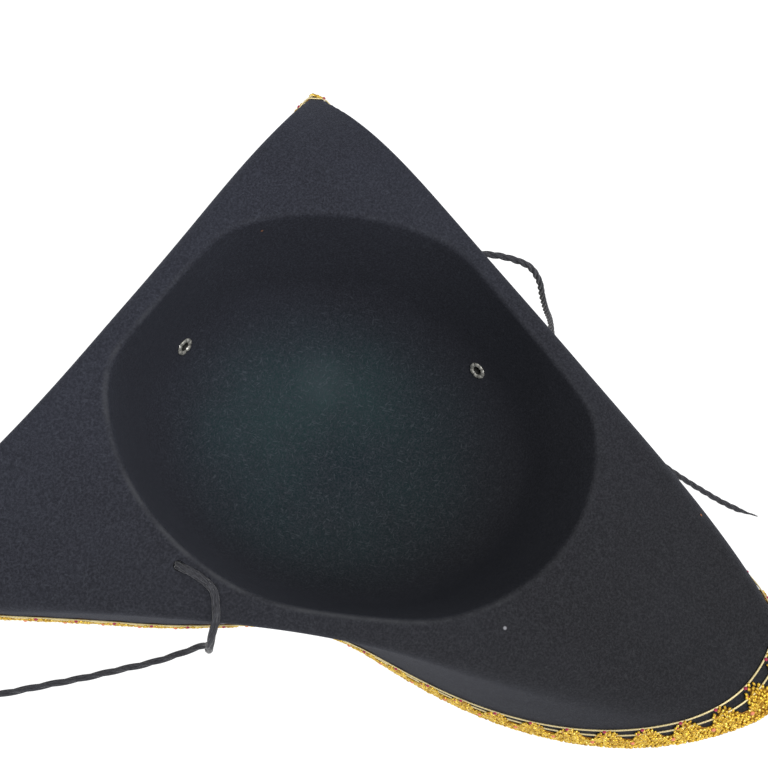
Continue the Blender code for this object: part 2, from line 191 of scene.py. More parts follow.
def crown_profile():
    """Insets from the rim and heights of the crown's inner face, from its top up to the rim."""
    wall_foot = FELT + SHOULDER_RADIUS * SHOULDER_RISE
    wall_top = RIM_HEIGHT - BREAK_RADIUS * (1 - math.sin(WALL_SLOPE))
    break_inset = BREAK_RADIUS * math.cos(WALL_SLOPE)
    foot_inset = break_inset + (wall_top - wall_foot) * math.tan(WALL_SLOPE)
    flatter = SHOULDER_RISE / (1 - math.sin(WALL_SLOPE))
    rows = []
    for slope in np.linspace(math.pi / 2, WALL_SLOPE, 19):
        inset = foot_inset + SHOULDER_RADIUS * (math.cos(WALL_SLOPE) - math.cos(slope))
        rows.append((inset, FELT + SHOULDER_RADIUS * flatter * (1 - math.sin(slope))))
    for share in np.linspace(0, 1, 14)[1:]:
        inset = foot_inset + (break_inset - foot_inset) * share
        rows.append((inset, wall_foot + (wall_top - wall_foot) * share))
    for slope in np.linspace(WALL_SLOPE, math.pi / 2, 8)[1:]:
        height = RIM_HEIGHT - BREAK_RADIUS * (1 - math.sin(slope))
        rows.append((BREAK_RADIUS * math.cos(slope), height))
    return rows


def crown_radius(at, inset, height):
    pulled = (height / RIM_HEIGHT) ** 2
    return (at["oval"] + (at["rim"] - at["oval"]) * pulled) * (1 - inset / MEAN_RADIUS)


def crown_point(at, azimuth, height):
    rows = crown_profile()
    inset = np.interp(height, [row[1] for row in rows], [row[0] for row in rows])
    radii = crown_radius(at, inset, height)
    radius = np.interp(azimuth, at["azimuth"], radii, period=2 * math.pi)
    return Vector((radius * math.cos(azimuth), radius * math.sin(azimuth), height))


def brim_lengths(at):
    """Lengths from the rim to each row of the brim: up to the fold, round it, below it, braid."""
    inner = at["width"] - BRAID_WIDTH
    start = np.minimum(length_to_fold(at), 0.8 * inner)
    stop = start + np.minimum(at["bend"] * at["angle"], 0.6 * (inner - start))
    rows = [start * share for share in np.linspace(0, 1, 21)[1:]]
    rows += [start + (stop - start) * share for share in np.linspace(0, 1, 21)[1:]]
    rows += [stop + (inner - stop) * share for share in np.linspace(0, 1, 17)[1:]]
    return rows + [inner + BRAID_WIDTH * share for share in np.linspace(0, 1, 6)[1:]]


def add_object(name, mesh, *finishes):
    made = bpy.data.objects.new(name, mesh)
    bpy.context.scene.collection.objects.link(made)
    for finish in finishes:
        mesh.materials.append(finish)
    return made


def made_mesh(name, shape):
    """The mesh of a shape that is finished and not needed any more."""
    mesh = bpy.data.meshes.new(name)
    shape.to_mesh(mesh)
    shape.free()
    return mesh


def add_shape(target, shape):
    """Put one shape into another."""
    mesh = made_mesh("shape", shape)
    target.from_mesh(mesh)
    bpy.data.meshes.remove(mesh)


def finished_mesh(target, name):
    """The mesh of an object with its modifiers applied."""
    depsgraph = bpy.context.evaluated_depsgraph_get()
    depsgraph.update()
    mesh = bpy.data.meshes.new_from_object(target.evaluated_get(depsgraph), depsgraph=depsgraph)
    mesh.name = name
    return mesh


def ring_sheet(rings, from_rims):
    """A sheet right round the hat, one closed ring of points for each row of a grid."""
    columns = len(rings[0])
    sheet = bmesh.new()
    bmesh.ops.create_grid(sheet, x_segments=columns, y_segments=len(rings) - 1, size=1)
    layer = sheet.verts.layers.float.new("from_rim")
    for vert in sheet.verts:
        column = round((vert.co.x + 1) / 2 * columns) % columns
        row = round((vert.co.y + 1) / 2 * (len(rings) - 1))
        vert.co = rings[row][column]
        vert[layer] = from_rims[row][column]
    bmesh.ops.remove_doubles(sheet, verts=sheet.verts, dist=0.001 * MM)
    return sheet


def feed(nodes, value, socket):
    """Join a socket to a node's output, or set its own value."""
    if isinstance(value, bpy.types.NodeSocket):
        nodes.id_data.links.new(value, socket)
    else:
        socket.default_value = value


def wire(nodes, kind, **settings):
    """A node; _name sets what it is, s0 its first socket, and any other setting a named socket."""
    made = nodes.new(kind)
    for key, value in settings.items():
        if key.startswith("_"):
            setattr(made, key[1:], value)
            continue
        name = int(key[1:]) if key[1:].isdigit() else key.replace("_", " ")
        feed(nodes, value, made.inputs[name])
    return made


def new_material(name, **settings):
    """A material, its nodes and its shader, with fixed values set on the shader's own sockets."""
    made = bpy.data.materials.new(name)
    made.use_nodes = True
    nodes = made.node_tree.nodes
    shader = nodes["Principled BSDF"]
    for key, value in settings.items():
        shader.inputs[key.replace("_", " ")].default_value = value
    return made, nodes, shader


def ramp(nodes, value, low, high, to_low=0.0, to_high=1.0):
    made = wire(nodes, "ShaderNodeMapRange", _interpolation_type="SMOOTHSTEP", s0=value)
    for i, number in enumerate((low, high, to_low, to_high)):
        made.inputs[i + 1].default_value = number
    return made.outputs[0]


def blend_colour(nodes, share, first, second, kind="MIX"):
    made = wire(nodes, "ShaderNodeMix", _data_type="RGBA", _blend_type=kind, s0=share)
    for value, socket in ((first, made.inputs[6]), (second, made.inputs[7])):
        feed(nodes, value if isinstance(value, bpy.types.NodeSocket) else (*value, 1), socket)
    return made.outputs[2]


def maths(nodes, operation, *values):
    made = wire(nodes, "ShaderNodeMath", _operation=operation)
    for value, socket in zip(values, made.inputs):
        feed(nodes, value, socket)
    return made.outputs[0]


def speckle(nodes, place, scale, detail=2.0, roughness=0.5):
    made = wire(
        nodes, "ShaderNodeTexNoise", Vector=place, Scale=scale, Detail=detail, Roughness=roughness
    )
    return made.outputs["Fac"]


def strokes(nodes, place, turn, across, along, low, high):
    """Thin straight fibres that lie in one direction."""
    turned = wire(
        nodes,
        "ShaderNodeMapping",
        _vector_type="TEXTURE",
        Vector=place,
        Rotation=tuple(math.radians(angle) for angle in turn),
        Scale=(1 / across, 1 / along, 1 / along),
    )
    return ramp(nodes, speckle(nodes, turned.outputs[0], 1.0, 1.0), low, high)


felt_finish, nodes, shader = new_material(
    "black_wool_felt",
    Roughness=0.95,
    Sheen_Weight=0.05,
    Sheen_Roughness=0.5,
    Sheen_Tint=(0.75, 0.8, 1.0, 1),
    Specular_IOR_Level=0.1,
)
place = nodes.new("ShaderNodeTexCoord").outputs["Object"]
height = wire(nodes, "ShaderNodeSeparateXYZ", Vector=place)
patches = speckle(nodes, place, 22, 3, 0.6)
grain = speckle(nodes, place, 1050, 4, 0.75)
colour = blend_colour(
    nodes, ramp(nodes, patches, 0.3, 0.7), (0.0142, 0.0144, 0.0172), (0.0168, 0.0174, 0.0212)
)
deep = ramp(nodes, height.outputs["Z"], 0.052, 0.004)
uneven = ramp(nodes, speckle(nodes, place, 45, 4, 0.65), 0.25, 0.75, 0.6, 1.0)
# the crown's top: a teal tint with painted sheen and light, brightest towards one side: middle,
# reach, radius at full strength, share and colour of each part
for middle, far, near, share, tint_and_sheen in (
    ((0.0, 0.0, 0.004), 0.12, 0.04, 0.9, (0.0095, 0.0216, 0.0228)),
    ((0.0, -0.006, 0.003), 0.034, 0.0, 0.5, (0.006, 0.012, 0.0155)),
    ((0.004, 0.038, 0.004), 0.055, 0.0, 0.4, (0.022, 0.05, 0.045)),
    ((0.036, 0.008, 0.005), 0.045, 0.0, 0.35, (0.022, 0.05, 0.045)),
    ((0.031, 0.024, 0.005), 0.02, 0.0, 0.4, (0.045, 0.07, 0.068)),
):
    away = wire(nodes, "ShaderNodeVectorMath", _operation="DISTANCE", s0=place, s1=middle)
    share = maths(nodes, "MULTIPLY", deep, ramp(nodes, away.outputs["Value"], far, near, 0, share))
    colour = blend_colour(nodes, maths(nodes, "MULTIPLY", share, uneven), colour, tint_and_sheen)
colour = blend_colour(
    nodes, ramp(nodes, grain, 0.36, 0.7, 0, 0.62), colour, (0.0415, 0.0425, 0.0505)
)
# loose fibres on the nap, as thin strokes that lie in four directions
fibres = None
for turn, across, low, high in (
    ((0, 0, 25), 1500, 0.64, 0.76),
    ((0, 0, -48), 1600, 0.64, 0.76),
    ((0, 0, 80), 1500, 0.64, 0.76),
    ((40, 0, 10), 1400, 0.64, 0.78),
):
    stroke = strokes(nodes, place, turn, across, 260, low, high)
    fibres = stroke if fibres is None else maths(nodes, "MAXIMUM", fibres, stroke)
fibre_share = maths(nodes, "MULTIPLY", fibres, maths(nodes, "MULTIPLY_ADD", deep, 0.2, 0.1))
colour = blend_colour(nodes, fibre_share, colour, (0.09, 0.098, 0.108))
# painted light: the felt is lighter and bluer towards one side, darker and warmer towards the
# other
painted_light_share = wire(
    nodes, "ShaderNodeVectorMath", _operation="DOT_PRODUCT", s0=place, s1=(0.409, 0.912, 0)
)
painted_light_share = ramp(nodes, painted_light_share.outputs["Value"], -0.16, 0.14)
painted_light_tone = blend_colour(nodes, painted_light_share, (0.93, 0.91, 0.86), (1.27, 1.31, 1.46))
colour = blend_colour(nodes, 1.0, colour, painted_light_tone, "MULTIPLY")
# a thin broken pale line just inside the rim: the nap worn off there, with a painted highlight
# along the rim's edge
from_rim = wire(nodes, "ShaderNodeAttribute", _attribute_name="from_rim").outputs["Fac"]
line = maths(nodes, "ABSOLUTE", maths(nodes, "ADD", from_rim, 0.0018))
line = ramp(nodes, line, 0.002, 0.0)
towards = wire(
    nodes, "ShaderNodeVectorMath", _operation="DOT_PRODUCT", s0=place, s1=(-9.6, 2.6, 0.0)
)
pale_line_side = ramp(nodes, towards.outputs["Value"], -0.3, 0.9, 0.2, 1.0)
broken = ramp(nodes, speckle(nodes, place, 60, 3, 0.6), 0.35, 0.65, 0.25, 1.0)
rim_wear_and_highlight = maths(nodes, "MULTIPLY", maths(nodes, "MULTIPLY", line, pale_line_side), broken)
colour = blend_colour(nodes, maths(nodes, "MULTIPLY", rim_wear_and_highlight, 0.5), colour, (0.08, 0.082, 0.088))
# specks of lint: place, size and colour
for spot, size, tone in (
    ((-0.0463, -0.0934, 0.107), 0.001, (0.26, 0.26, 0.28)),
    ((0.1192, 0.0705, 0.0943), 0.0009, (0.3, 0.3, 0.32)),
    ((0.0397, -0.1482, 0.1046), 0.0008, (0.3, 0.12, 0.05)),
    ((0.047, 0.0771, 0.0985), 0.0008, (0.28, 0.12, 0.06)),
):
    away = wire(nodes, "ShaderNodeVectorMath", _operation="DISTANCE", s0=place, s1=spot)
    speck = ramp(nodes, away.outputs["Value"], size, size * 0.3)
    colour = blend_colour(nodes, speck, colour, tone)
feed(nodes, colour, shader.inputs["Base Color"])
nap = maths(nodes, "ADD", grain, maths(nodes, "MULTIPLY", fibres, 0.12))
bump = wire(nodes, "ShaderNodeBump", Strength=0.55, Distance=0.0005, Height=nap)
soft_bump = wire(
    nodes,
    "ShaderNodeBump",
    Strength=0.5,
    Distance=0.002,
    Height=speckle(nodes, place, 35, 3, 0.55),
    Normal=bump.outputs[0],
)
feed(nodes, soft_bump.outputs[0], shader.inputs["Normal"])

hat = all_stations(120)
rings, from_rims = [], []
profile = crown_profile()
down = length_along(np.array(profile))
for (inset, level), share in zip(profile, down):
    rings.append(ring_points(hat["azimuth"], crown_radius(hat, inset, level), level))
    from_rims.append(np.full(len(hat["azimuth"]), share - down[-1]))
for length in brim_lengths(hat):
    rings.append(ring_points(hat["azimuth"], *brim_section(hat, length)))
    from_rims.append(length)
sheet = ring_sheet(rings, from_rims)
crown_top = [
    edge
    for edge in sheet.edges
    if edge.is_boundary and edge.verts[0].co.xy.length < INSIDE_CROWN
]
bmesh.ops.edgeloop_fill(sheet, edges=crown_top)
bmesh.ops.recalc_face_normals(sheet, faces=sheet.faces)
blocked = add_object("blocked_felt", made_mesh("blocked_felt", sheet), felt_finish)
wall = blocked.modifiers.new("wall", "SOLIDIFY")
wall.thickness = FELT
wall.offset = -1
wall.use_even_offset = True


def cut_hole(target, place, direction, radius, depth):
    """Cut a round hole with a punch that is taken away once the shape is finished."""
    shape = bmesh.new()
    bmesh.ops.create_cone(
        shape, cap_ends=True, segments=32, radius1=radius, radius2=radius, depth=depth
    )
    turn = Vector((0, 0, 1)).rotation_difference(Vector(direction)).to_matrix().to_4x4()
    bmesh.ops.transform(shape, matrix=Matrix.Translation(place) @ turn, verts=shape.verts)
    punch = add_object("punch", made_mesh("punch", shape))
    cut = target.modifiers.new("hole", "BOOLEAN")
    cut.operation = "DIFFERENCE"
    cut.solver = "MANIFOLD"
    cut.object = punch
    return punch


# side and azimuth of each eyelet
EYELETS = (("left", 90.6), ("right", -31.0))
EYELET_HEIGHT = 42 * MM
# radius and length of each punch
EYELET_PUNCH = 3.35 * MM, 12 * MM
CORD_PUNCH = 2.1 * MM, 9 * MM
punches = []
eyelet_seats = {}
for name, azimuth in EYELETS:
    azimuth = math.radians(azimuth)
    seat = crown_point(hat, azimuth, EYELET_HEIGHT)
    sideways, upwards = (
        crown_point(hat, azimuth + turn, EYELET_HEIGHT + rise)
        - crown_point(hat, azimuth - turn, EYELET_HEIGHT - rise)
        for turn, rise in ((0.03, 0), (0, 2 * MM))
    )
    inward = upwards.cross(sideways).normalized()
    eyelet_seats[name] = seat, inward
    punches.append(cut_hole(blocked, seat, inward, *EYELET_PUNCH))

CORD_RISE = math.radians(55)
# where a cord comes out of the felt, the way that face looks, and the cord's heading and slope
CORD_SEATS = {
    "left": ((-90.6, 29.5, 107.0), (0, 0, 1), -88.0, 0.0),
    "right": ((93.45, -6.53, 97.0), (0.96, -0.28, 0.0), -106.26, 45.0),
}


def cord_seat(side):
    """A cord's hole, the way its face looks, the cord's way ahead and its slope once it lies."""
    hole, up, heading, settled = CORD_SEATS[side]
    heading = math.radians(heading)
    ahead = np.array((math.cos(heading), math.sin(heading), 0))
    return np.array(hole) * MM, up / np.linalg.norm(up), ahead, math.radians(settled)


for side in CORD_SEATS:
    hole, up, ahead, _ = cord_seat(side)
    seat, rise = hole - up * FELT / 2, ahead + up * math.tan(CORD_RISE)
    punches.append(cut_hole(blocked, Vector(seat), rise, *CORD_PUNCH))
felt_mesh = finished_mesh(blocked, "felt_body")
felt_mesh.shade_smooth()
felt_mesh.set_sharp_from_angle(angle=math.radians(50))
felt_body = add_object("felt_body", felt_mesh)
for gone in punches + [blocked]:
    bpy.data.objects.remove(gone)
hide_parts("hat_body")
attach(felt_body, "root")

# Eyelets
# Nickel-plated brass eyelets, one through each side of the crown: a rolled flange inside, pinched
# as it was set, and a barrel that is curled over on the outside.
nickel_finish, nodes, shader = new_material("worn_nickel", Metallic=0.6, Specular_IOR_Level=0.5)
place = nodes.new("ShaderNodeTexCoord").outputs["Object"]
tarnish = ramp(nodes, speckle(nodes, place, 900, 4, 0.7), 0.35, 0.7)
colour = blend_colour(nodes, tarnish, (0.7, 0.69, 0.64), (0.3, 0.29, 0.25))
feed(nodes, colour, shader.inputs["Base Color"])
feed(nodes, ramp(nodes, tarnish, 0, 1, 0.28, 0.5), shader.inputs["Roughness"])
scratched = wire(
    nodes, "ShaderNodeBump", Strength=0.3, Distance=0.0001, Height=speckle(nodes, place, 2500, 2)
)
feed(nodes, scratched.outputs[0], shader.inputs["Normal"])
# the faces inside each eyelet's bore are painted near-black: painted shade in the hole
bore_shade_finish = new_material(
    "nickel_bore_painted_shade", Metallic=0.5, Roughness=0.6, Base_Color=(0.03, 0.03, 0.028, 1)
)[0]

PINCHES = 7
BORE = 2.35 * MM
# radius and level above the felt, in mm, round the eyelet's section
EYELET_PROFILE = (
    (2.05, 0.1),
    (2.25, 0.6),
    (2.6, 1.1),
    (3.1, 1.35),
    (3.9, 1.25),
    (4.35, 0.95),
    (4.5, 0.6),
    (4.3, 0.4),
    (2.75, 0.4),
    (2.7, 0.2),
    (2.7, -2.9),
    (3.8, -3.2),
    (3.75, -3.6),
    (3.2, -3.85),
    (2.6, -3.8),
    (2.2, -3.5),
    (2.05, -2.8),
)
for name, (seat, inward) in eyelet_seats.items():
    ring = bmesh.new()
    corners = [ring.verts.new((radius * MM, 0, level * MM)) for radius, level in EYELET_PROFILE]
    edges = [ring.edges.new((a, b)) for a, b in zip(corners, corners[1:] + corners[:1])]
    bmesh.ops.spin(
        ring,
        geom=corners + edges,
        axis=(0, 0, 1),
        cent=(0, 0, 0),
        dvec=(0, 0, 0),
        angle=math.tau,
        steps=60,
        use_merge=True,
    )
    bmesh.ops.remove_doubles(ring, verts=ring.verts, dist=0.01 * MM)
    for vert in ring.verts:
        around = math.atan2(vert.co.y, vert.co.x)
        pinch = max(math.cos(PINCHES * around + 0.8 * math.sin(2 * around)), 0) ** 2
        if vert.co.z > 0.7 * MM:
            vert.co.z -= 0.5 * MM * pinch
            vert.co.xy *= 1 - 0.07 * pinch
        if vert.co.z < -3 * MM:
            vert.co.xy *= 1 - 0.1 * pinch
    # faces inside the bore take the near-black finish, painted shade
    for face in ring.faces:
        face.material_index = int(face.calc_center_median().xy.length < BORE)
    bmesh.ops.recalc_face_normals(ring, faces=ring.faces)
    turn = Vector((0, 0, 1)).rotation_difference(inward).to_matrix().to_4x4()
    bmesh.ops.transform(ring, matrix=Matrix.Translation(seat) @ turn, verts=ring.verts)
    mesh = made_mesh("eyelet_ring_" + name, ring)
    mesh.shade_smooth()
    eyelet = add_object("eyelet_ring_" + name, mesh, nickel_finish, bore_shade_finish)
    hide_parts("eyelet_" + name)
    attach(eyelet, "root")

# Gold braid
# Openwork metal-thread lace, sewn flat along the brim's free edge: a knotted outer band, a leafy
# fan on it every 17 mm, two straight threads that tie the fans, and small crimson and pink knots.
OVERHANG = 0.8 * MM
BRAID_SPAN = BRAID_WIDTH + OVERHANG
BRAID_ROWS = 8
REPEAT = 17 * MM
UNITS = 16  # of the drawing, along one repeat
START = 0.496  # of a repeat, from the front corner to where the drawing begins
edge_hat = all_stations(240)
outer = edge_hat["width"] + OVERHANG
braid_rings = []
for share in np.linspace(0, 1, BRAID_ROWS + 1):
    length = outer - BRAID_SPAN * share
    ring = ring_points(edge_hat["azimuth"], *brim_section(edge_hat, length))
    braid_rings.append(np.concatenate((ring, ring[:1])))
braid_grid = np.array(braid_rings)
along_grid = np.gradient(braid_grid, axis=1)
along_grid[:, 0] = along_grid[:, -1] = braid_grid[:, 1] - braid_grid[:, -2]
across_grid = np.gradient(braid_grid, axis=0)
up_grid = np.cross(along_grid, across_grid)
up_grid /= np.linalg.norm(up_grid, axis=2)[:, :, None]
edge_length = length_along(braid_grid[3])
repeats = round(edge_length[-1] / REPEAT)
repeat = edge_length[-1] / repeats


def on_braid(u, t, h):
    """Points at lengths u along the edge, t in from it and h above the felt."""
    u = (u + START * repeat) % edge_length[-1]
    i = np.clip(np.searchsorted(edge_length, u, side="right") - 1, 0, len(edge_length) - 2)
    f = ((u - edge_length[i]) / (edge_length[i + 1] - edge_length[i]))[:, None]
    rows = np.clip(t / BRAID_SPAN, 0, 1) * BRAID_ROWS
    j = np.clip(rows.astype(int), 0, BRAID_ROWS - 1)
    g = (rows - j)[:, None]

    def read(grid):
        low = grid[j, i] * (1 - f) + grid[j, i + 1] * f
        high = grid[j + 1, i] * (1 - f) + grid[j + 1, i + 1] * f
        return low * (1 - g) + high * g

    return read(braid_grid) + read(up_grid) * h[:, None]


def lay_on_braid(shape, start):
    """Move what is drawn flat, in metres, to its place on the brim."""
    flat = np.array([vert.co for vert in shape])
    for vert, point in zip(shape, on_braid(flat[:, 0] + start, flat[:, 1], flat[:, 2])):
        vert.co = point


gold_finish, nodes, shader = new_material("gold_thread", Metallic=0.6, Specular_IOR_Level=0.5)
place = nodes.new("ShaderNodeTexCoord").outputs["Object"]
tone = speckle(nodes, place, 420, 4, 0.75)
colour = blend_colour(
    nodes, ramp(nodes, tone, 0.34, 0.6), (0.38, 0.18, 0.01), (0.92, 0.63, 0.065)
)
colour = blend_colour(nodes, ramp(nodes, tone, 0.56, 0.7), colour, (1.0, 0.86, 0.32))
feed(nodes, colour, shader.inputs["Base Color"])
feed(nodes, ramp(nodes, tone, 0.3, 0.7, 0.5, 0.28), shader.inputs["Roughness"])
threads = speckle(nodes, place, 2600, 2)
gold_bump = wire(nodes, "ShaderNodeBump", Strength=0.6, Distance=0.0003, Height=threads)
feed(nodes, gold_bump.outputs[0], shader.inputs["Normal"])

# the ground under the knots is a dark brown-gold: painted shade in the gaps between the knots
backing_shade_finish = new_material(
    "gold_backing_painted_shade", Metallic=0.4, Roughness=0.6, Base_Color=(0.36, 0.17, 0.02, 1)
)[0]

pale_finish, nodes, shader = new_material("pale_gold_thread", Metallic=0.35, Roughness=0.4)
place = nodes.new("ShaderNodeTexCoord").outputs["Object"]
colour = blend_colour(
    nodes, speckle(nodes, place, 1200, 2), (0.55, 0.42, 0.16), (0.9, 0.78, 0.46)
)
feed(nodes, colour, shader.inputs["Base Color"])
spun = speckle(nodes, place, 3000)
spun = wire(nodes, "ShaderNodeBump", Strength=0.4, Distance=0.0002, Height=spun)
feed(nodes, spun.outputs[0], shader.inputs["Normal"])

knot_finishes = []
for name, dark, bright in (
    ("crimson_thread", (0.22, 0.004, 0.03), (0.5, 0.015, 0.08)),
    ("pink_thread", (0.62, 0.16, 0.08), (0.85, 0.3, 0.16)),
):
    finish, nodes, shader = new_material(name, Roughness=0.6, Sheen_Weight=0.2)
    place = nodes.new("ShaderNodeTexCoord").outputs["Object"]
    colour = blend_colour(nodes, speckle(nodes, place, 1500, 2), dark, bright)
    feed(nodes, colour, shader.inputs["Base Color"])
    knot_finishes.append(finish)


def band_height(u):
    """How far in from the edge the solid gold reaches, over one repeat."""
    places = (0, 2.0, 4.0, 6.0, 7.6, 9.0, 11.0, 13.0, 14.0, 16)
    heights = (8.2, 8.4, 11.2, 14.4, 16.6, 16.2, 13.4, 10.0, 8.4, 8.2)
    return np.interp(u / repeat % 1 * UNITS, places, heights) * MM


BACKING = 0.4 * MM
BACKING_TOP = 0.45 * MM
chance = random.Random(7)
ground = bmesh.new()
bmesh.ops.create_grid(ground, x_segments=repeats * UNITS, y_segments=5, size=1)
for vert in ground.verts:
    u = (vert.co.x + 1) / 2 * edge_length[-1]
    vert.co = (u, (vert.co.y + 1) / 2 * float(band_height(u)), BACKING_TOP)
lay_on_braid(ground.verts, 0)
bmesh.ops.remove_doubles(ground, verts=ground.verts, dist=0.01 * MM)
bmesh.ops.recalc_face_normals(ground, faces=ground.faces)
ground_mesh = made_mesh("braid_ground", ground)
ground_mesh.shade_smooth()
braid_ground = add_object("braid_ground", ground_mesh, backing_shade_finish)
backing = braid_ground.modifiers.new("backing", "SOLIDIFY")
backing.thickness = BACKING
backing.offset = -1


def drawn_motif(knots):
    """Knots of thread drawn flat, from each one's place, height, half-lengths, turn and finish."""
    shape = bmesh.new()
    for u, t, h, long, wide, thick, turn, finish in knots:
        size = Matrix.Diagonal((long * MM, wide * MM, thick * MM, 1))
        lie = Matrix.Translation((u * repeat / UNITS, t * MM, h * MM))
        lie = lie @ Matrix.Rotation(turn, 4, "Z")
        made = bmesh.ops.create_uvsphere(
            shape, u_segments=6, v_segments=4, radius=1, matrix=lie @ size
        )
        for face in {face for vert in made["verts"] for face in vert.link_faces}:
            face.material_index = finish
    return made_mesh("motif", shape)


def lay_motifs(name, motifs, *finishes):
    """One object with one of the motifs laid at every repeat."""
    whole = bmesh.new()
    for i in range(repeats):
        before = len(whole.verts)
        whole.from_mesh(motifs[(i * 7 + i // 4) % len(motifs)])
        whole.verts.ensure_lookup_table()
        lay_on_braid(whole.verts[before:], i * repeat)
    bmesh.ops.recalc_face_normals(whole, faces=whole.faces)
    mesh = made_mesh(name, whole)
    mesh.shade_smooth()
    for motif in motifs:
        bpy.data.meshes.remove(motif)
    return add_object(name, mesh, *finishes)


def band_knots():
    """The outer band: rows of knots that lie close, every other row half a knot further."""
    for row in range(6):
        for i in range(10):
            u = (i + 0.5 * (row % 2) + chance.uniform(-0.2, 0.2)) * 1.6
            t = 0.75 + row * 1.45 + chance.uniform(-0.25, 0.25)
            turn = chance.uniform(-1.2, 1.2) if row else 0
            long, wide = chance.uniform(0.95, 1.25), chance.uniform(0.6, 0.8)
            yield u, t, 0.6 + chance.uniform(0, 0.4), long, wide, 0.6, turn, 0


# angle and reach, in mm, of a fan's leaves, and where they spring from
LEAVES = ((74, 9.5), (61, 13.2), (51, 13.0), (41, 12.2), (31, 11.6), (21, 11.2), (10, 10.6))
FAN_FOOT = 2.0, 7.2


def fan_knots():
    """A fan: leaves of two rows of knots each that meet in one knot at the tip."""
    for angle, reach in LEAVES:
        angle = math.radians(angle)
        for step in range(7):
            out = reach * (0.1 + 0.15 * step)
            side = (0.5 if step % 2 else -0.5) * (step < 6) + chance.uniform(-0.2, 0.2)
            u = FAN_FOOT[0] + out * math.cos(angle) - side * math.sin(angle)
            t = FAN_FOOT[1] + out * math.sin(angle) + side * math.cos(angle)
            turn = angle + chance.uniform(-0.6, 0.6)
            yield u, t, 0.8 + chance.uniform(0, 0.5), 1.15, 0.72, 0.65, turn, 0


gold_braid = lay_motifs("gold_braid", [drawn_motif(band_knots()) for _ in range(4)], gold_finish)
gold_fans = lay_motifs("gold_fans", [drawn_motif(fan_knots()) for _ in range(4)], gold_finish)
dots = [
    (6.4, 18.8, 1.2, 0.95, 0.85, 0.7, 0.4, 0),
    (4.2, 15.2, 1.1, 0.8, 0.7, 0.65, 0.4, 0),
    (1.0, 6.4, 1.3, 1.05, 0.9, 0.7, 0.4, 1),
]
braid_dots = lay_motifs("braid_dots", [drawn_motif(dots)], *knot_finishes)

# how far in from the edge the tie threads lie, in mm
TIES = 19.1, 13.6
tie_threads = bmesh.new()
for t in TIES:
    tube = bmesh.new()
    bmesh.ops.create_grid(tube, x_segments=repeats * 12, y_segments=6, size=1)
    for vert in tube.verts:
        around = (vert.co.y + 1) * math.pi
        vert.co = (
            (vert.co.x + 1) / 2 * edge_length[-1],
            t * MM + 0.5 * MM * math.cos(around),
            0.75 * MM + 0.35 * MM * math.sin(around),
        )
    lay_on_braid(tube.verts, 0)
    bmesh.ops.remove_doubles(tube, verts=tube.verts, dist=0.005 * MM)
    bmesh.ops.recalc_face_normals(tube, faces=tube.faces)
    add_shape(tie_threads, tube)
threads_mesh = made_mesh("braid_threads", tie_threads)
threads_mesh.shade_smooth()
braid_threads = add_object("braid_threads", threads_mesh, pale_finish)
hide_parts("brim_braid")
for piece in (braid_ground, gold_braid, gold_fans, braid_dots, braid_threads):
    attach(piece, "root")

# Chin cords and knots
# Three-strand twisted black cord, 3.3 mm across, each end pulled through a hole in the felt,
# beside the rim or under a fold, and stopped behind it by an overhand knot. The other ends lie
# loose on the table and have frayed a little.
CORD_RADIUS = 1.65 * MM
CORD_LIFT = 2.3 * MM
CORD_TURN = 7.0 * MM
CORD_START = -1.55 * MM
ROUTE_STEPS = 900
STRAND_RADIUS = 0.86 * MM
STRAND_OUT = 0.79 * MM
LAY_LENGTHS = {"left": 34 * MM, "right": 16.5 * MM}
# how much of the free end is frayed, and how much thinner its strands are there
FRAYS = {"left": (4 * MM, 0.2), "right": (13 * MM, 0.6)}
FRAY_BLEND = 8 * MM
KNOT_SPREAD = 0.92
KNOT_RISE = 0.62
KNOT_STRAND = 1.03 * MM
KNOT_HALF_HEIGHT = 1.7 * MM
KNOT_GAP = 0.3 * MM
ROUTES = {
    "left": (
        (-90.3, 18.0, 109.2), (-92.8, 11.8, 109.3), (-98.0, 7.6, 109.4), (-104.0, 5.0, 108.6),
        (-108.6, 3.4, 104.0), (-110.4, 2.6, 95.0), (-110.6, 2.2, 70.0), (-110.2, 2.0, 40.0),
        (-110.0, 2.0, 18.0), (-110.6, 3.0, 7.5), (-114.0, 6.2, 2.4), (-120.4, 11.6, 1.7),
        (-130.4, 20.9, 1.7), (-139.9, 31.3, 1.7), (-149.5, 41.8, 1.7), (-162.5, 56.9, 1.7),
        (-175.0, 71.4, 1.7), (-185.6, 84.0, 1.7), (-194.6, 98.0, 1.7), (-200.6, 112.0, 1.7),
    ),
    "right": (
        (98.6, -17.7, 97.0), (101.8, -24.7, 95.5), (105.2, -31.9, 91.0), (107.2, -39.4, 82.0),
        (109.0, -47.4, 66.0), (112.4, -54.6, 49.5), (117.6, -61.0, 33.0), (121.2, -66.6, 18.0),
        (121.8, -72.0, 7.2), (119.2, -79.0, 2.4), (115.0, -88.4, 1.7), (108.6, -106.6, 1.7),
        (100.6, -129.0, 1.7), (95.2, -149.0, 1.7), (93.4, -168.0, 1.7), (93.2, -186.0, 1.7),
        (93.8, -202.0, 1.7), (95.6, -214.0, 1.7), (97.8, -221.6, 1.7),
    ),
}


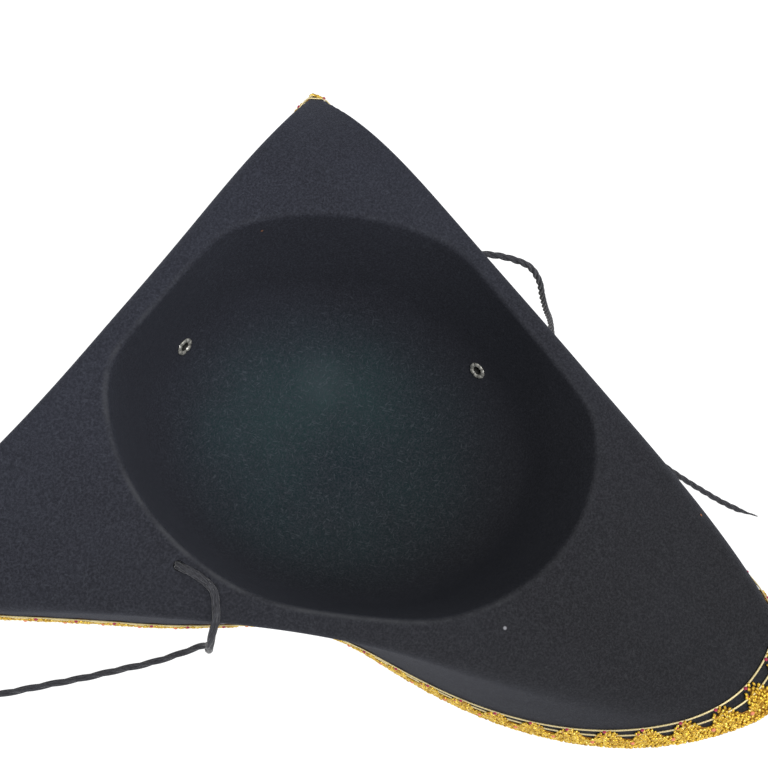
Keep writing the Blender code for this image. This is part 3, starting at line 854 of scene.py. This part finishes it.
def cord_line(side):
    """Points of a cord's middle line: out through its slanting hole, then along its route."""
    hole, up, ahead, settled = cord_seat(side)
    foot = CORD_LIFT - CORD_TURN * (1 - math.cos(CORD_RISE))
    hole = hole + ahead * (foot + FELT / 2) / math.tan(CORD_RISE)
    route = [hole + up * CORD_START + ahead * (CORD_START - foot) / math.tan(CORD_RISE)]
    for share in (0.0, 0.33, 0.67, 1.0):
        slope = CORD_RISE + (settled - CORD_RISE) * share
        out = CORD_TURN * (math.sin(CORD_RISE) - math.sin(slope))
        rise = CORD_TURN * (math.cos(slope) - math.cos(CORD_RISE))
        route.append(hole + ahead * out + up * (foot + rise))
    route = np.array(route + [np.array(point) * MM for point in ROUTES[side]])
    knots = length_along(route)
    line = smooth_through(route, knots, np.linspace(0, knots[-1], ROUTE_STEPS))
    line[:, 2] = np.maximum(line[:, 2], CORD_RADIUS)
    far = length_along(line)
    even = np.linspace(0, far[-1], round(far[-1] / (0.7 * MM)))
    return np.stack([np.interp(even, far, line[:, axis]) for axis in range(3)], axis=1)


def carried_frames(line):
    """Directions along a line, and two across it that are carried on without twisting."""
    ahead = np.gradient(line, axis=0)
    ahead /= np.linalg.norm(ahead, axis=1)[:, None]
    side = Vector(ahead[0]).orthogonal().normalized()
    sides = []
    for way in ahead:
        way = Vector(way)
        side = (side - way * side.dot(way)).normalized()
        sides.append(side.copy())
    sides = np.array(sides)
    return ahead, sides, np.cross(ahead, sides)


def strand_tube(target, line, radii, sides=8):
    """A round strand along a line, closed at both ends, with a UV map along and around it."""
    _, first, second = carried_frames(line)
    strand = bmesh.new()
    uv = strand.loops.layers.uv.new("UVMap")
    bmesh.ops.create_grid(strand, x_segments=len(line) - 1, y_segments=sides, size=1)
    far = length_along(line)
    for face in strand.faces:
        for loop in face.loops:
            i = round((loop.vert.co.x + 1) / 2 * (len(line) - 1))
            loop[uv].uv = (far[i] / MM, (loop.vert.co.y + 1) / 2)
    for vert in strand.verts:
        i = round((vert.co.x + 1) / 2 * (len(line) - 1))
        around = (vert.co.y + 1) * math.pi
        across = first[i] * math.cos(around) + second[i] * math.sin(around)
        vert.co = line[i] + across * radii[i]
    bmesh.ops.remove_doubles(strand, verts=strand.verts, dist=0.002 * MM)
    ends = [edge for edge in strand.edges if edge.is_boundary]
    bmesh.ops.holes_fill(strand, edges=ends, sides=sides)
    bmesh.ops.recalc_face_normals(strand, faces=strand.faces)
    add_shape(target, strand)


cord_finish, nodes, shader = new_material(
    "twisted_black_cord",
    Roughness=0.75,
    Sheen_Weight=0.2,
    Sheen_Roughness=0.4,
    Specular_IOR_Level=0.3,
)
along = nodes.new("ShaderNodeTexCoord").outputs["UV"]
slanted = wire(
    nodes, "ShaderNodeMapping", Vector=along, Rotation=(0, 0, math.radians(8)), Scale=(0.35, 9, 1)
)
yarn = speckle(nodes, slanted.outputs[0], 1.5, 3, 0.6)
colour = blend_colour(
    nodes, ramp(nodes, yarn, 0.35, 0.7), (0.018, 0.018, 0.022), (0.06, 0.061, 0.07)
)
feed(nodes, colour, shader.inputs["Base Color"])
yarn_bump = wire(nodes, "ShaderNodeBump", Strength=0.7, Distance=0.0003, Height=yarn)
feed(nodes, yarn_bump.outputs[0], shader.inputs["Normal"])

place = np.linspace(0, math.tau, 121)[:-1]
knot_loop = np.stack(
    (
        (2 + np.cos(3 * place)) * np.cos(2 * place) * KNOT_SPREAD * MM,
        (2 + np.cos(3 * place)) * np.sin(2 * place) * KNOT_SPREAD * MM,
        np.sin(3 * place) * KNOT_RISE * MM,
    ),
    axis=1,
)
knot_loop = np.concatenate((knot_loop, knot_loop[:1]))

for side in ("left", "right"):
    line = cord_line(side)
    length = length_along(line)
    _, first, second = carried_frames(line)
    fray, thinner = FRAYS[side]
    frayed = np.clip((length - (length[-1] - fray)) / FRAY_BLEND, 0, 1)
    out = STRAND_OUT * (1 - 0.75 * frayed)
    radii = STRAND_RADIUS * (1 - thinner * frayed)
    cord = bmesh.new()
    for strand in range(3):
        turn = length / LAY_LENGTHS[side] * math.tau + strand * math.tau / 3
        offset = first * np.cos(turn)[:, None] + second * np.sin(turn)[:, None]
        stop = len(line) - 2 * strand
        strand_tube(cord, (line + offset * out[:, None])[:stop], radii[:stop])
    mesh = made_mesh("twisted_cord_" + side, cord)
    mesh.shade_smooth()
    twisted = add_object("twisted_cord_" + side, mesh, cord_finish)

    knot = bmesh.new()
    up = cord_seat(side)[1]
    lie = Vector((0, 0, 1)).rotation_difference(Vector(up)).to_matrix()
    middle = line[0] - up * (FELT + KNOT_GAP + KNOT_HALF_HEIGHT + CORD_START)
    thickness = np.full(len(knot_loop), KNOT_STRAND)
    strand_tube(knot, knot_loop @ np.array(lie).T + middle, thickness, 10)
    mesh = made_mesh("tied_knot_" + side, knot)
    mesh.shade_smooth()
    tied = add_object("tied_knot_" + side, mesh, cord_finish)
    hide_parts("chin_cord_" + side)
    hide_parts("cord_knot_" + side)
    for piece in (twisted, tied):
        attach(piece, "root")

# Table, light and camera
# A plain table that shines evenly white, so that it throws little of the lamps' light back, under
# a large soft lamp from above and a weak one from one side. The camera looks steeply down into the
# crown.
TABLE_HALF_WIDTH = 6
TABLE_TOP = -0.0003
table = bmesh.new()
bmesh.ops.create_grid(table, x_segments=1, y_segments=1, size=TABLE_HALF_WIDTH)
bmesh.ops.translate(table, verts=table.verts, vec=(0, 0, TABLE_TOP))
table_finish, nodes, shader = new_material(
    "white_table", Roughness=0.8, Emission_Color=(1, 1, 1, 1), Emission_Strength=1.02
)
place = nodes.new("ShaderNodeTexCoord").outputs["Object"]
colour = blend_colour(nodes, speckle(nodes, place, 4, 2), (0.1, 0.1, 0.1), (0.14, 0.14, 0.14))
feed(nodes, colour, shader.inputs["Base Color"])
add_object("table", made_mesh("table", table), table_finish)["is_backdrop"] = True

scene = bpy.context.scene
scene.view_settings.view_transform = "Standard"
scene.world = scene.world or bpy.data.worlds.new("studio")
scene.world.use_nodes = True
backdrop = scene.world.node_tree.nodes["Background"]
backdrop.inputs["Color"].default_value = (0.96, 0.98, 1.0, 1)
backdrop.inputs["Strength"].default_value = 0.4

FOCAL_LENGTH = 925  # in pixels of a picture 768 wide
PICTURE_WIDTH = 768
CAMERA = Vector((-105.7, 8.5, 471.6)) * MM
AHEAD = Vector((0.3120, -0.0275, -0.950)).normalized()
UP = Vector((0.8135, 0.5248, 0.252))
RIGHT = AHEAD.cross(UP).normalized()
UP = RIGHT.cross(AHEAD)


def add_light(name, place, size, watts, aim):
    lamp = bpy.data.lights.new(name, "AREA")
    lamp.shape = "DISK"
    lamp.size = size
    lamp.energy = watts
    light = bpy.data.objects.new(name, lamp)
    scene.collection.objects.link(light)
    light.location = place
    light.rotation_euler = (Vector(aim) - Vector(place)).to_track_quat("-Z", "Y").to_euler()


add_light("side_light", (0.3, -0.8, 1.5), 0.7, 4.5, (0, 0, 0.05))
add_light("top_light", (-0.28, -0.14, 1.9), 0.8, 27, (0, 0, 0))

eye = bpy.data.cameras.new("camera")
eye.sensor_width = 36
eye.lens = eye.sensor_width * FOCAL_LENGTH / PICTURE_WIDTH
eye.clip_start = 0.01
camera = bpy.data.objects.new("camera", eye)
scene.collection.objects.link(camera)
turned = Matrix((RIGHT, UP, -AHEAD)).transposed().to_4x4()
camera.matrix_world = Matrix.Translation(CAMERA) @ turned
scene.camera = camera

[[list(corner) for corner in box] for box in (cad_box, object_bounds())]
